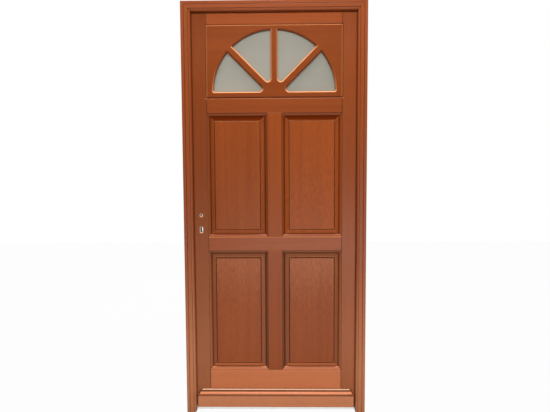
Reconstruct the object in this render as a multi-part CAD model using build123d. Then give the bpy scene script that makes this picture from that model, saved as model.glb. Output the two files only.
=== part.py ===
from build123d import *
import math
import os

# A panelled wooden front door in its frame, seen from the weather side.
# X runs to the right, Y runs into the house, Z runs up, in millimetres.
# The origin is on the floor, in the middle of the frame's width and depth.

os.makedirs("parts", exist_ok=True)

# Frame
frame_width = 970.0
frame_height = 2195.0
frame_face = 50.0
stop_depth = 24.0
rebate_width = 15.0
frame_line_inset = 16.5
frame_line_width = 3.0
frame_line_depth = 2.0
frame_edge_step = 2.0
frame_edge_fillet = 1.5
frame_edge_radius = 11.5
frame_back_bevel = 2.0
fixing_hole_radius = 4.0
fixing_outer_inset = 110.0
fixing_inner_inset = 540.0

# Threshold
threshold_height = 20.0
threshold_setback = 3.0
threshold_slope = 10.0
threshold_nose = 14.0
threshold_wall = 2.0

# Leaf and its clearances
leaf_thickness = 46.0
leaf_gap = 3.0
floor_gap = 6.0
stop_gap = 3.0
stile_width = 86.0
muntin_width = 75.0
bottom_rail_height = 200.0
lock_rail_height = 74.0
cross_rail_height = 80.0
top_rail_height = 73.0
joint_bevel = 0.8
tenon_length = 45.0
tenon_shoulder = 14.0
muntin_tenon_length = 25.0
glue_gap = 1.0

# Moulded edge round each panel
moulding_width = 15.0
moulding_step = 3.5
moulding_fillet = 1.5
moulding_depth = 16.0

# Raised panels
panel_play = 2.0
panel_fit = 0.2
field_inset = 41.0
bevel_rise = 10.0
field_rise = 3.0
quirk_width = 3.5
quirk_depth = 2.5
field_bevel = 2.0

# Fanlight board, its four lights, panes and beads
fan_side_margin = 36.0
fan_foot = 31.0
fan_crown = 22.0
fan_spoke_width = 37.0
fan_spoke_drop = 14.0
fan_spoke_angle = 45.0
fan_tip_radius = 16.0
fan_foot_radius = 8.0
fan_rim_bevel = 5.0
fan_lip = 18.0
fan_rebate = 10.0
fan_pane_thickness = 18.0
fan_pane_play = 1.0
fan_bead_play = 0.3
fan_tongue = 10.0
fan_tongue_play = 1.0
fan_edge_bevel = 5.0

# Drip rail at the foot of the leaf
drip_end_gap = 14.0
drip_bottom = 38.0
drip_depth = 38.0
drip_face_height = 60.0
drip_face_ledge = 8.0
drip_ledge_fall = 2.0
drip_step = 3.0
drip_ovolo_run = 18.0
drip_ovolo_height = 10.0
drip_crown_step = 5.0
drip_crown_fall = 2.0
drip_back_rise = 6.0
drip_groove_inset = 6.0
drip_groove_width = 5.0
drip_groove_depth = 5.0
drip_splay = 16.0

# Seals
seal_slot_width = 3.0
seal_slot_depth = 5.0
seal_slot_inset = 7.5
seal_stem_play = 0.2
seal_bulb_width = 8.0
seal_bulb_bevel = 1.0
seal_clearance = 0.3
foot_seal_width = 6.0
foot_seal_depth = 8.0

# Lift-off hinges
hinge_count = 3
hinge_foot_inset = 230.0
hinge_head_inset = 200.0
hinge_height = 140.0
hinge_knuckle_radius = 7.0
hinge_knuckle_gap = 1.0
hinge_blade_thickness = 3.0
hinge_blade_depth = 30.0
hinge_blade_overhang = 4.0
hinge_pin_radius = 4.0
hinge_pin_length = 90.0
hinge_running_gap = 0.05
hinge_bearing_gap = 0.1

# Mortise lock
lock_backset = 50.0
lock_above_rail = 119.0
lock_cylinder_drop = 70.0
lock_case_behind = 25.0
lock_case_above = 50.0
lock_case_below = 115.0
lock_case_thickness = 16.0
lock_case_wall = 1.5
lock_case_fit = 0.3
faceplate_height = 240.0
faceplate_width = 20.0
faceplate_thickness = 3.0
spindle_size = 8.0
hub_radius = 9.0
hub_running_gap = 0.05
hub_hole_radius = 10.0
arm_reach = 19.0
arm_tip_radius = 3.0
arm_neck_width = 4.0
arm_thickness = 5.0
arm_gap = 0.3
arm_swing = 35.0
cylinder_round_radius = 8.5
cylinder_tail_width = 10.0
cylinder_height = 33.0
cylinder_fit = 0.3
cylinder_hole_width = 21.0
cylinder_hole_height = 38.0
latch_height = 20.0
latch_width = 11.0
latch_reach = 11.0
latch_root = 14.0
latch_tip_width = 3.0
latch_tail_height = 8.0
latch_lug_length = 6.0
latch_lug_drop = 6.0
bolt_height = 30.0
bolt_width = 10.0
bolt_length = 44.0
bolt_drop = 37.0
bolt_guide_gap = 0.3

# Strike plate in the left jamb
strike_thickness = 2.5
strike_width = 24.0
strike_border = 26.0
strike_pocket_gap = 1.5
latch_pocket_depth = 16.0
bolt_pocket_depth = 24.0

# Cuts run this far past the faces that they open
overrun = 10.0

# Places that follow from the sizes above
frame_half = frame_width / 2
frame_depth = stop_depth + stop_gap + leaf_thickness
frame_front = -frame_depth / 2
frame_back = frame_depth / 2
rebate_face = frame_face - rebate_width
clear_half = frame_half - frame_face
rebate_half = frame_half - rebate_face
stop_back = frame_front + stop_depth

leaf_half = rebate_half - leaf_gap
leaf_front = stop_back + stop_gap
leaf_back = leaf_front + leaf_thickness
leaf_middle = (leaf_front + leaf_back) / 2
leaf_bottom = threshold_height + floor_gap
leaf_top = frame_height - rebate_face - leaf_gap
rail_half = leaf_half - stile_width
muntin_half = muntin_width / 2

fan_radius = rail_half - fan_side_margin
fan_height = fan_foot + fan_radius + fan_crown
rails_height = bottom_rail_height + lock_rail_height + cross_rail_height + top_rail_height
panel_height = (leaf_top - leaf_bottom - rails_height - fan_height) / 2
bottom_rail_top = leaf_bottom + bottom_rail_height
lock_rail_bottom = bottom_rail_top + panel_height
lock_rail_top = lock_rail_bottom + lock_rail_height
cross_rail_bottom = lock_rail_top + panel_height
fan_bottom = cross_rail_bottom + cross_rail_height
fan_top = fan_bottom + fan_height
fan_base = fan_bottom + fan_foot

groove_front = leaf_front + moulding_depth
groove_back = leaf_back - moulding_depth

lock_axis_x = lock_backset - leaf_half
lock_axis_z = lock_rail_top + lock_above_rail
cylinder_z = lock_axis_z - lock_cylinder_drop
case_front = -leaf_half + faceplate_thickness
case_rear = lock_axis_x + lock_case_behind
case_bottom = lock_axis_z - lock_case_below
case_top = lock_axis_z + lock_case_above
case_outer_y = leaf_middle - lock_case_thickness / 2
case_inner_y = leaf_middle + lock_case_thickness / 2
faceplate_z = (case_bottom + case_top) / 2
faceplate_low = faceplate_z - faceplate_height / 2
faceplate_high = faceplate_z + faceplate_height / 2
arm_lean = arm_swing / 2
latch_tail_low = lock_axis_z + arm_reach + arm_tip_radius + arm_gap
latch_z = latch_tail_low + latch_tail_height / 2
bolt_z = lock_axis_z - bolt_drop
strike_low = bolt_z - bolt_height / 2 - strike_border
strike_high = latch_z + latch_height / 2 + strike_border

hinge_axis_x = (leaf_half + rebate_half) / 2
hinge_axis_y = frame_back + hinge_knuckle_gap + hinge_knuckle_radius
hinge_low = leaf_bottom + hinge_foot_inset
hinge_high = leaf_top - hinge_head_inset
hinge_pitch = (hinge_high - hinge_low) / (hinge_count - 1)
hinge_heights = [hinge_low + hinge_pitch * number for number in range(hinge_count)]


def save(shape, node):
    """Write one piece to its own file."""
    export_step(shape, f"parts/{node}.step")


def block(x0, x1, y0, y1, z0, z1):
    """A box between two corners."""
    middle = Pos((x0 + x1) / 2, (y0 + y1) / 2, (z0 + z1) / 2)
    return middle * Box(x1 - x0, y1 - y0, z1 - z0)


def upright_plane(y):
    """The X-Z plane at depth y, seen from the front."""
    return Plane(origin=(0, y, 0), x_dir=(1, 0, 0), z_dir=(0, -1, 0))


def upright_prism(face, y0, y1):
    """A face drawn in X and Z, run from depth y0 to depth y1."""
    return extrude(upright_plane(y0) * face, amount=y1 - y0, dir=(0, 1, 0))


def outline(*points):
    """A face with straight edges."""
    return make_face(Polyline(*points, close=True))


def cross_bore(radius, x0, x1, y, z):
    """A round bar along X."""
    return Pos((x0 + x1) / 2, y, z) * Rot(0, 90, 0) * Cylinder(radius, x1 - x0)


def depth_bore(radius, y0, y1, x, z):
    """A round bar along Y."""
    return Pos(x, (y0 + y1) / 2, z) * Rot(90, 0, 0) * Cylinder(radius, y1 - y0)


# Frame


def frame_section():
    """Across the frame: from the outer edge (u) and from the front face (v)."""
    line = frame_line_width / 2
    arc_start = frame_face - frame_edge_radius
    fillet_start = arc_start - frame_edge_fillet
    arc_depth = frame_edge_step + frame_edge_radius
    slot_middle = frame_face - seal_slot_inset
    slot_left = slot_middle - seal_slot_width / 2
    slot_right = slot_middle + seal_slot_width / 2
    slot_bottom = stop_depth - seal_slot_depth
    front = Polyline(
        (0, 0),
        (frame_line_inset - line, 0),
        (frame_line_inset, frame_line_depth),
        (frame_line_inset + line, 0),
        (fillet_start, 0),
        (fillet_start, frame_edge_step),
        (arc_start, frame_edge_step),
    )
    ovolo = CenterArc((arc_start, arc_depth), frame_edge_radius, -90, 90)
    back = Polyline(
        (frame_face, arc_depth),
        (frame_face, stop_depth),
        (slot_right, stop_depth),
        (slot_right, slot_bottom),
        (slot_left, slot_bottom),
        (slot_left, stop_depth),
        (rebate_face, stop_depth),
        (rebate_face, frame_depth - frame_back_bevel),
        (rebate_face - frame_back_bevel, frame_depth),
        (0, frame_depth),
        (0, 0),
    )
    return make_face(front + ovolo + back)


def seal_section():
    """The weather seal: a stem in the slot and a flat bulb against the leaf."""
    middle = frame_face - seal_slot_inset
    stem = seal_slot_width / 2 - seal_stem_play
    bulb = seal_bulb_width / 2
    stem_depth = stop_depth - seal_slot_depth + seal_clearance
    bulb_top = stop_depth + stop_gap - seal_clearance
    return outline(
        (middle - stem, stem_depth),
        (middle + stem, stem_depth),
        (middle + stem, stop_depth),
        (middle + bulb, stop_depth),
        (middle + bulb, bulb_top - seal_bulb_bevel),
        (middle + bulb - seal_bulb_bevel, bulb_top),
        (middle - bulb + seal_bulb_bevel, bulb_top),
        (middle - bulb, bulb_top - seal_bulb_bevel),
        (middle - bulb, stop_depth),
        (middle - stem, stop_depth),
    )


def frame_upright(section, foot):
    """A section run up the left side from foot, mitred at the head."""
    plane = Plane(origin=(-frame_half, frame_front, foot), x_dir=(1, 0, 0), z_dir=(0, 0, 1))
    bar = extrude(plane * section, amount=frame_height - foot, dir=(0, 0, 1))
    mitre = outline(
        (-frame_half, 0),
        (-clear_half, 0),
        (-clear_half, frame_height - frame_face),
        (-frame_half, frame_height),
    )
    return bar & upright_prism(mitre, frame_front - overrun, frame_back + overrun)


def frame_crosspiece(section):
    """A section run along the head, mitred at both ends."""
    plane = Plane(origin=(-frame_half, frame_front, frame_height), x_dir=(0, 0, -1), z_dir=(1, 0, 0))
    bar = extrude(plane * section, amount=frame_width, dir=(1, 0, 0))
    mitre = outline(
        (-frame_half, frame_height),
        (-clear_half, frame_height - frame_face),
        (clear_half, frame_height - frame_face),
        (frame_half, frame_height),
    )
    return bar & upright_prism(mitre, frame_front - overrun, frame_back + overrun)


def fixing_bores(x0, x1):
    """The holes through a jamb for its wall screws, hidden by the closed leaf."""
    heights = [
        fixing_outer_inset,
        fixing_inner_inset,
        frame_height - fixing_inner_inset,
        frame_height - fixing_outer_inset,
    ]
    return [cross_bore(fixing_hole_radius, x0, x1, leaf_middle, z) for z in heights]


def left_jamb():
    """The jamb on the lock side, with the strike plate's bed and its two pockets."""
    jamb = frame_upright(frame_section(), 0)
    jamb -= fixing_bores(-frame_half - overrun, -clear_half + overrun)
    jamb -= strike_bed()
    jamb -= strike_pocket(latch_z, latch_height, latch_width, latch_pocket_depth)
    jamb -= strike_pocket(bolt_z, bolt_height, bolt_width, bolt_pocket_depth)
    return jamb


def right_jamb():
    """The jamb on the hinge side, with a bed for each hinge blade."""
    jamb = mirror(frame_upright(frame_section(), 0), about=Plane.YZ)
    jamb -= fixing_bores(clear_half - overrun, frame_half + overrun)
    for z in hinge_heights:
        jamb -= frame_blade(z)
    return jamb


def threshold():
    """A hollow extrusion under the leaf, between the jambs, that falls to the front."""
    front = leaf_front + threshold_setback
    rise_end = front + threshold_slope
    wall = threshold_wall
    profile = outline(
        (front, 0),
        (frame_back, 0),
        (frame_back, threshold_height),
        (rise_end, threshold_height),
        (front, threshold_nose),
    )
    chamber = outline(
        (front + wall, wall),
        (frame_back - wall, wall),
        (frame_back - wall, threshold_height - wall),
        (rise_end, threshold_height - wall),
        (front + wall, threshold_nose - wall),
    )
    plane = Plane(origin=(-rebate_half, 0, 0), x_dir=(0, 1, 0), z_dir=(1, 0, 0))
    return extrude(plane * (profile - chamber), amount=rebate_half * 2, dir=(1, 0, 0))


def strike_bed():
    """The space that the strike plate takes in the jamb."""
    y0 = leaf_middle - strike_width / 2
    y1 = leaf_middle + strike_width / 2
    return block(-rebate_half - strike_thickness, -rebate_half, y0, y1, strike_low, strike_high)


def strike_pocket(z, height, width, depth):
    """A pocket behind the strike plate for one bolt."""
    half_height = height / 2 + strike_pocket_gap
    half_width = width / 2 + strike_pocket_gap
    return block(
        -rebate_half - depth,
        -rebate_half,
        leaf_middle - half_width,
        leaf_middle + half_width,
        z - half_height,
        z + half_height,
    )


def strike_plate():
    """The plate that the latch and the dead bolt go through."""
    plate = strike_bed()
    plate -= strike_pocket(latch_z, latch_height, latch_width, latch_pocket_depth)
    plate -= strike_pocket(bolt_z, bolt_height, bolt_width, bolt_pocket_depth)
    return plate


# Hinges


def hinge_blade(x0, x1, z):
    """One flat blade of a hinge, let into the wood."""
    half = hinge_height / 2
    return block(x0, x1, frame_back - hinge_blade_depth, frame_back, z - half, z + half)


def frame_blade(z):
    """The blade in the jamb."""
    return hinge_blade(rebate_half, rebate_half + hinge_blade_thickness, z)


def leaf_blade(z):
    """The blade in the edge of the leaf."""
    return hinge_blade(leaf_half - hinge_blade_thickness, leaf_half, z)


def axis_bar(radius, z0, z1):
    """A round bar on the hinge's axis."""
    return Pos(hinge_axis_x, hinge_axis_y, (z0 + z1) / 2) * Cylinder(radius, z1 - z0)


def hinge_frame_half(z):
    """Blade and lower knuckle, which holds the pin and bears the leaf on its upper end."""
    low = z - hinge_height / 2
    x0 = rebate_half
    x1 = rebate_half + hinge_blade_thickness
    neck = block(x0, x1, frame_back, hinge_axis_y, low + hinge_blade_overhang, z)
    half = frame_blade(z) + neck + axis_bar(hinge_knuckle_radius, low, z)
    half -= axis_bar(hinge_pin_radius, z - hinge_pin_length / 2, z)
    return half


def hinge_leaf_half(z):
    """Blade and upper knuckle, which drops over the pin."""
    high = z + hinge_height / 2
    x0 = leaf_half - hinge_blade_thickness
    x1 = leaf_half
    neck = block(x0, x1, frame_back, hinge_axis_y, z + hinge_bearing_gap, high - hinge_blade_overhang)
    half = leaf_blade(z) + neck + axis_bar(hinge_knuckle_radius, z + hinge_bearing_gap, high)
    half -= axis_bar(hinge_pin_radius + hinge_running_gap, z, z + hinge_pin_length / 2 + hinge_knuckle_gap)
    return half


def hinge_pins():
    """The pins, pressed into the lower knuckles."""
    reach = hinge_pin_length / 2
    return [axis_bar(hinge_pin_radius, z - reach, z + reach) for z in hinge_heights]


# Leaf joinery


def moulding_section():
    """Across the moulded edge: u towards the panel, v from the face of the leaf."""
    start = (moulding_fillet, moulding_step)
    end = (moulding_width, moulding_depth)
    chord = math.dist(start, end)
    top = Polyline((0, moulding_depth), (0, moulding_step), start)
    ovolo = RadiusArc(start, end, -chord)
    bottom = Line(end, (0, moulding_depth))
    return make_face(top + ovolo + bottom)


def edge_moulding(start, end, inward):
    """The moulded edges, front and back, along one side of a panel opening.

    start and end are the side's corners in X and Z, inward points to the panel."""
    run = Vector(end[0] - start[0], 0, end[1] - start[1])
    along = run.normalized()
    side = Vector(inward[0], 0, inward[1])
    width = moulding_width
    corners = [
        Vector(start[0], 0, start[1]),
        Vector(end[0], 0, end[1]),
        Vector(end[0], 0, end[1]) + (side - along) * width,
        Vector(start[0], 0, start[1]) + (side + along) * width,
    ]
    mitre = outline(*[(corner.X, corner.Z) for corner in corners])
    wedge = upright_prism(mitre, leaf_front, leaf_back)
    pieces = []
    for face_y, depth in ((leaf_front, Vector(0, 1, 0)), (leaf_back, Vector(0, -1, 0))):
        origin = Vector(start[0], face_y, start[1])
        plane = Plane(origin=origin, x_dir=side, z_dir=side.cross(depth))
        bar = extrude(plane * moulding_section(), amount=run.length, dir=along)
        pieces.append(bar & wedge)
    return pieces


def panel_opening(column, row):
    """The opening between the flat faces: column -1 or 1, row 0 below and 1 above."""
    low = (bottom_rail_top, lock_rail_top)[row]
    x0, x1 = sorted((column * muntin_half, column * rail_half))
    return x0, x1, low, low + panel_height


def opening_mouldings(column, row):
    """The four moulded edges of one panel opening, by side."""
    x0, x1, z0, z1 = panel_opening(column, row)
    return {
        "left": edge_moulding((x0, z0), (x0, z1), (1, 0)),
        "right": edge_moulding((x1, z0), (x1, z1), (-1, 0)),
        "low": edge_moulding((x0, z0), (x1, z0), (0, 1)),
        "high": edge_moulding((x0, z1), (x1, z1), (0, -1)),
    }


mouldings = {(column, row): opening_mouldings(column, row) for column in (-1, 1) for row in (0, 1)}


def tenon(x0, x1, z0, z1):
    """A tenon, as thick as the panel groove."""
    return block(x0, x1, groove_front, groove_back, z0, z1)


def rail_tenons(z0, z1, grow=0.0):
    """A rail's two tenons, or with grow the mortises that they enter."""
    low = z0 + tenon_shoulder
    high = z1 - tenon_shoulder
    reach = rail_half + tenon_length + grow
    return [tenon(-reach, -rail_half, low, high), tenon(rail_half, reach, low, high)]


def muntin_tenons(z0, z1, grow=0.0):
    """A muntin's two tenons, or with grow the mortises that they enter."""
    half = muntin_half - tenon_shoulder
    reach = muntin_tenon_length + grow
    return [tenon(-half, half, z0 - reach, z0), tenon(-half, half, z1, z1 + reach)]


def fan_groove(grow):
    """The groove round the fanlight board, or its tongue."""
    return block(
        -rail_half - grow,
        rail_half + grow,
        groove_front,
        groove_back,
        fan_bottom - grow,
        fan_top + grow,
    )


def fan_flare():
    """The half of the V groove that is cut into the members round the board."""
    cuts = []
    width = rail_half * 2
    middle = Pos(0, (fan_bottom + fan_top) / 2)
    wide = middle * Rectangle(width + fan_edge_bevel * 2, fan_height + fan_edge_bevel * 2)
    slope = math.degrees(math.atan2(fan_edge_bevel, fan_edge_bevel))
    for face_y, into in ((leaf_front, 1), (leaf_back, -1)):
        face = upright_plane(face_y) * wide
        cuts.append(extrude(face, amount=fan_edge_bevel, dir=(0, into, 0), taper=slope))
    return cuts


def foot_groove():
    """The groove under the leaf for the foot seal."""
    return block(
        -leaf_half,
        leaf_half,
        leaf_middle - foot_seal_width / 2,
        leaf_middle + foot_seal_width / 2,
        leaf_bottom,
        leaf_bottom + foot_seal_depth,
    )


rail_levels = {
    "bottom_rail": (leaf_bottom, bottom_rail_top),
    "lock_rail": (lock_rail_bottom, lock_rail_top),
    "cross_rail": (cross_rail_bottom, fan_bottom),
    "top_rail": (fan_top, leaf_top),
}


def stile(side):
    """An upright of the leaf: side -1 carries the lock, side 1 the hinges."""
    x0, x1 = sorted((side * leaf_half, side * rail_half))
    upright = block(x0, x1, leaf_front, leaf_back, leaf_bottom, leaf_top)
    edge = "left" if side < 0 else "right"
    for row in (0, 1):
        upright += mouldings[side, row][edge]
    for z0, z1 in rail_levels.values():
        upright -= rail_tenons(z0, z1, glue_gap)
    upright -= fan_groove(fan_tongue + fan_tongue_play)
    upright -= fan_flare()
    upright -= foot_groove()
    return upright


def lock_stile():
    """The stile with the lock's mortise and the two holes through the face."""
    upright = stile(-1)
    upright -= lock_mortise()
    upright -= depth_bore(hub_hole_radius, leaf_front, leaf_back, lock_axis_x, lock_axis_z)
    upright -= cylinder_hole()
    return upright


def hinge_stile():
    """The stile with a bed for each hinge blade."""
    upright = stile(1)
    for z in hinge_heights:
        upright -= leaf_blade(z)
    return upright


def rail(name):
    """A cross member between the stiles, with its tenons."""
    z0, z1 = rail_levels[name]
    body = block(-rail_half, rail_half, leaf_front, leaf_back, z0, z1)
    body = chamfer(body.edges().filter_by(Axis.Z), joint_bevel)
    body += rail_tenons(z0, z1)
    return body


def bottom_rail():
    """The lowest rail, with the groove for the foot seal."""
    body = rail("bottom_rail")
    for column in (-1, 1):
        body += mouldings[column, 0]["low"]
    body -= muntin_tenons(bottom_rail_top, lock_rail_bottom, glue_gap)
    body -= foot_groove()
    return body


def lock_rail():
    """The middle rail, between the lower and the upper panels."""
    body = rail("lock_rail")
    for column in (-1, 1):
        body += mouldings[column, 0]["high"]
        body += mouldings[column, 1]["low"]
    body -= muntin_tenons(bottom_rail_top, lock_rail_bottom, glue_gap)
    body -= muntin_tenons(lock_rail_top, cross_rail_bottom, glue_gap)
    return body


def cross_rail():
    """The rail under the fanlight."""
    body = rail("cross_rail")
    for column in (-1, 1):
        body += mouldings[column, 1]["high"]
    body -= muntin_tenons(lock_rail_top, cross_rail_bottom, glue_gap)
    body -= fan_groove(fan_tongue + fan_tongue_play)
    body -= fan_flare()
    return body


def top_rail():
    """The rail over the fanlight."""
    body = rail("top_rail")
    body -= fan_groove(fan_tongue + fan_tongue_play)
    body -= fan_flare()
    return body


def muntin(row):
    """The short upright between two panels."""
    z0, z1 = panel_opening(1, row)[2:]
    body = block(-muntin_half, muntin_half, leaf_front, leaf_back, z0, z1)
    body = chamfer(body.edges().filter_by(Axis.X), joint_bevel)
    body += mouldings[-1, row]["right"]
    body += mouldings[1, row]["left"]
    body += muntin_tenons(z0, z1)
    return body


def raised_panel(column, row):
    """A panel with its tongue, and on both faces sloping margins, a sunk quirk and a raised field."""
    x0, x1, z0, z1 = panel_opening(column, row)
    play = panel_play
    panel = block(
        x0 + play,
        x1 - play,
        groove_front + panel_fit,
        groove_back - panel_fit,
        z0 + play,
        z1 - play,
    )
    middle = Pos((x0 + x1) / 2, (z0 + z1) / 2)

    def inset_face(inset):
        return middle * Rectangle(x1 - x0 - inset * 2, z1 - z0 - inset * 2)

    foot = inset_face(moulding_width)
    crest = inset_face(field_inset - quirk_width)
    field = inset_face(field_inset)
    slope = math.degrees(math.atan2(field_inset - quirk_width - moulding_width, bevel_rise))
    for base_y, out in ((groove_front + panel_fit, -1), (groove_back - panel_fit, 1)):
        crest_y = base_y + out * bevel_rise
        quirk_y = crest_y - out * quirk_depth
        panel += extrude(upright_plane(base_y) * foot, amount=bevel_rise, dir=(0, out, 0), taper=slope)
        panel -= extrude(upright_plane(quirk_y) * (crest - field), amount=quirk_depth, dir=(0, out, 0))
        raised = extrude(upright_plane(quirk_y) * field, amount=quirk_depth + field_rise, dir=(0, out, 0))
        top = raised.faces().sort_by(Axis.Y)[0 if out < 0 else -1]
        panel += chamfer(top.edges(), field_bevel)
    return panel


# Fanlight


def fan_lights(grow):
    """The four lights as faces in X and Z, left to right, with each edge moved out by grow."""
    radius = fan_radius + grow
    base = fan_base - grow
    disc = Pos(0, fan_base) * Circle(radius)
    above = Pos(0, base + radius) * Rectangle(radius * 2, radius * 2)
    lights = disc & above
    spoke = Rectangle(fan_spoke_width - grow * 2, radius * 2)
    hub = Pos(0, fan_base - fan_spoke_drop)
    for angle in (-fan_spoke_angle, 0, fan_spoke_angle):
        lights -= hub * Rot(0, 0, angle) * Pos(0, radius - fan_spoke_drop) * spoke
    return lights.faces().sort_by(Axis.X)


def round_light(light):
    """Round the tip of a light, and its foot where it has one; the upper corners stay sharp."""
    tip, *rest = light.vertices().sort_by_distance((0, fan_base))
    feet = [corner for corner in rest if corner.Y < fan_base + fan_foot_radius]
    light = light.fillet_2d(fan_tip_radius, [tip])
    for place in feet:
        corner = light.vertices().sort_by_distance(place)[0]
        light = light.fillet_2d(fan_foot_radius, [corner])
    return light


rounded_lights = [round_light(light) for light in fan_lights(0)]


pane_front = leaf_front + fan_lip
pane_back = pane_front + fan_pane_thickness


def fanlight_board():
    """The board with four lights, rebated square behind, tongued into the leaf."""
    board = block(-rail_half, rail_half, leaf_front, leaf_back, fan_bottom, fan_top)
    board = chamfer(board.faces().sort_by(Axis.Y)[0].edges(), fan_edge_bevel)
    board = chamfer(board.faces().sort_by(Axis.Y)[-1].edges(), fan_edge_bevel)
    board += fan_groove(fan_tongue)
    for light in rounded_lights:
        board -= upright_prism(light, leaf_front, leaf_back)
    front = board.faces().sort_by(Axis.Y)[0]
    rims = [edge for wire in front.inner_wires() for edge in wire.edges()]
    board = chamfer(rims, fan_rim_bevel)
    for light in fan_lights(fan_rebate):
        board -= upright_prism(light, pane_front, leaf_back)
    return board


def fan_pane(number):
    """A sealed glass unit behind one light."""
    light = fan_lights(fan_rebate - fan_pane_play)[number]
    return upright_prism(light, pane_front, pane_back)


def fan_bead(number):
    """The mitred strips that hold a pane from the inside."""
    ring = upright_prism(fan_lights(fan_rebate - fan_bead_play)[number], pane_back, leaf_back)
    return ring - upright_prism(fan_lights(0)[number], pane_back, leaf_back)


# Drip rail and foot seal


def drip_rail():
    """The moulded weather rail, splayed at its upper ends."""
    half = clear_half - drip_end_gap
    face_top = drip_bottom + drip_face_height
    ovolo_low = face_top + drip_ledge_fall + drip_step
    ovolo_out = drip_depth - drip_face_ledge
    crown_out = ovolo_out - drip_ovolo_run
    crown_low = ovolo_low + drip_ovolo_height
    crown_high = crown_low + drip_crown_step
    groove_out = drip_depth - drip_groove_inset
    groove_in = groove_out - drip_groove_width
    lower = Polyline(
        (0, crown_high + drip_crown_fall),
        (0, drip_bottom + drip_back_rise),
        (groove_in, drip_bottom),
        (groove_in, drip_bottom + drip_groove_depth),
        (groove_out, drip_bottom + drip_groove_depth),
        (groove_out, drip_bottom),
        (drip_depth, drip_bottom),
        (drip_depth, face_top),
        (ovolo_out, face_top + drip_ledge_fall),
        (ovolo_out, ovolo_low),
    )
    rise = math.hypot(drip_ovolo_run, drip_ovolo_height)
    ovolo = RadiusArc((ovolo_out, ovolo_low), (crown_out, crown_low), -rise)
    upper = Polyline((crown_out, crown_low), (crown_out, crown_high), (0, crown_high + drip_crown_fall))
    plane = Plane(origin=(-half, leaf_front, 0), x_dir=(0, -1, 0), z_dir=(-1, 0, 0))
    bar = extrude(plane * make_face(lower + ovolo + upper), amount=half * 2, dir=(1, 0, 0))
    top = crown_high + drip_crown_fall
    front_view = outline(
        (-half, drip_bottom),
        (half, drip_bottom),
        (half, face_top),
        (half - drip_splay, top),
        (drip_splay - half, top),
        (-half, face_top),
    )
    return bar & upright_prism(front_view, leaf_front - drip_depth, leaf_front)


def foot_seal():
    """The rubber strip under the leaf, just clear of the threshold."""
    half = foot_seal_width / 2 - seal_stem_play
    return block(
        -leaf_half,
        leaf_half,
        leaf_middle - half,
        leaf_middle + half,
        threshold_height + seal_clearance,
        leaf_bottom + foot_seal_depth,
    )


# Lock


def cylinder_profile(grow=0.0):
    """The key cylinder's outline in X and Z: a round with a narrower tail below."""
    tail = cylinder_height - cylinder_round_radius - cylinder_tail_width / 2
    width = cylinder_tail_width + grow * 2
    face = Circle(cylinder_round_radius + grow)
    face += Pos(0, -tail / 2) * Rectangle(width, tail)
    face += Pos(0, -tail) * Circle(width / 2)
    return Pos(lock_axis_x, cylinder_z) * face


def cylinder_hole():
    """The long hole through the stile for the key cylinder."""
    radius = cylinder_hole_width / 2
    run = cylinder_hole_height - cylinder_hole_width
    face = Circle(radius) + Pos(0, -run) * Circle(radius)
    face += Pos(0, -run / 2) * Rectangle(cylinder_hole_width, run)
    return upright_prism(Pos(lock_axis_x, cylinder_z) * face, leaf_front, leaf_back)


def faceplate_bed(grow=0.0):
    """The faceplate's space in the edge of the stile."""
    half = faceplate_width / 2 + grow
    return block(
        -leaf_half,
        case_front,
        leaf_middle - half,
        leaf_middle + half,
        faceplate_low - grow,
        faceplate_high + grow,
    )


def lock_mortise():
    """The pocket in the stile for the lock case and its faceplate."""
    fit = lock_case_fit
    pocket = block(
        case_front,
        case_rear + fit,
        case_outer_y - fit,
        case_inner_y + fit,
        case_bottom - fit,
        case_top + fit,
    )
    return pocket + faceplate_bed()


def bolt_window(z, height, width):
    """The hole in the faceplate for one bolt."""
    half_height = height / 2 + bolt_guide_gap
    half_width = width / 2 + bolt_guide_gap
    return block(
        -leaf_half,
        case_front,
        leaf_middle - half_width,
        leaf_middle + half_width,
        z - half_height,
        z + half_height,
    )


def lock_faceplate():
    """The plate on the edge of the leaf that the bolts come out of."""
    plate = faceplate_bed()
    plate -= bolt_window(latch_z, latch_height, latch_width)
    plate -= bolt_window(bolt_z, bolt_height, bolt_width)
    return plate


def case_holes(y0, y1):
    """The holes through the lock's side plates for the follower and the cylinder."""
    bearing = depth_bore(hub_radius + hub_running_gap, y0, y1, lock_axis_x, lock_axis_z)
    return [bearing, upright_prism(cylinder_profile(cylinder_fit), y0, y1)]


def lock_case():
    """The lock's open tray: outer side plate and rim, closed in front by the faceplate."""
    wall = lock_case_wall
    tray = block(case_front, case_rear, case_outer_y, case_inner_y - wall, case_bottom, case_top)
    tray -= block(
        case_front,
        case_rear - wall,
        case_outer_y + wall,
        case_inner_y - wall,
        case_bottom + wall,
        case_top - wall,
    )
    tray -= case_holes(case_outer_y, case_outer_y + wall)
    return tray


def lock_cover():
    """The lock's inner side plate."""
    wall = lock_case_wall
    plate = block(case_front, case_rear, case_inner_y - wall, case_inner_y, case_bottom, case_top)
    plate -= case_holes(case_inner_y - wall, case_inner_y)
    return plate


def follower():
    """The hub that the handle's spindle turns, with the arm that draws the latch."""
    hub = Rot(90, 0, 0) * Cylinder(hub_radius, lock_case_thickness)
    neck = Pos(0, 0, arm_reach / 2) * Box(arm_neck_width, arm_thickness, arm_reach)
    tip = Pos(0, 0, arm_reach) * Rot(90, 0, 0) * Cylinder(arm_tip_radius, arm_thickness)
    hub += Rot(0, -arm_lean, 0) * (neck + tip)
    hub -= Box(spindle_size, lock_case_thickness, spindle_size)
    return Pos(lock_axis_x, leaf_middle, lock_axis_z) * hub


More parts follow.
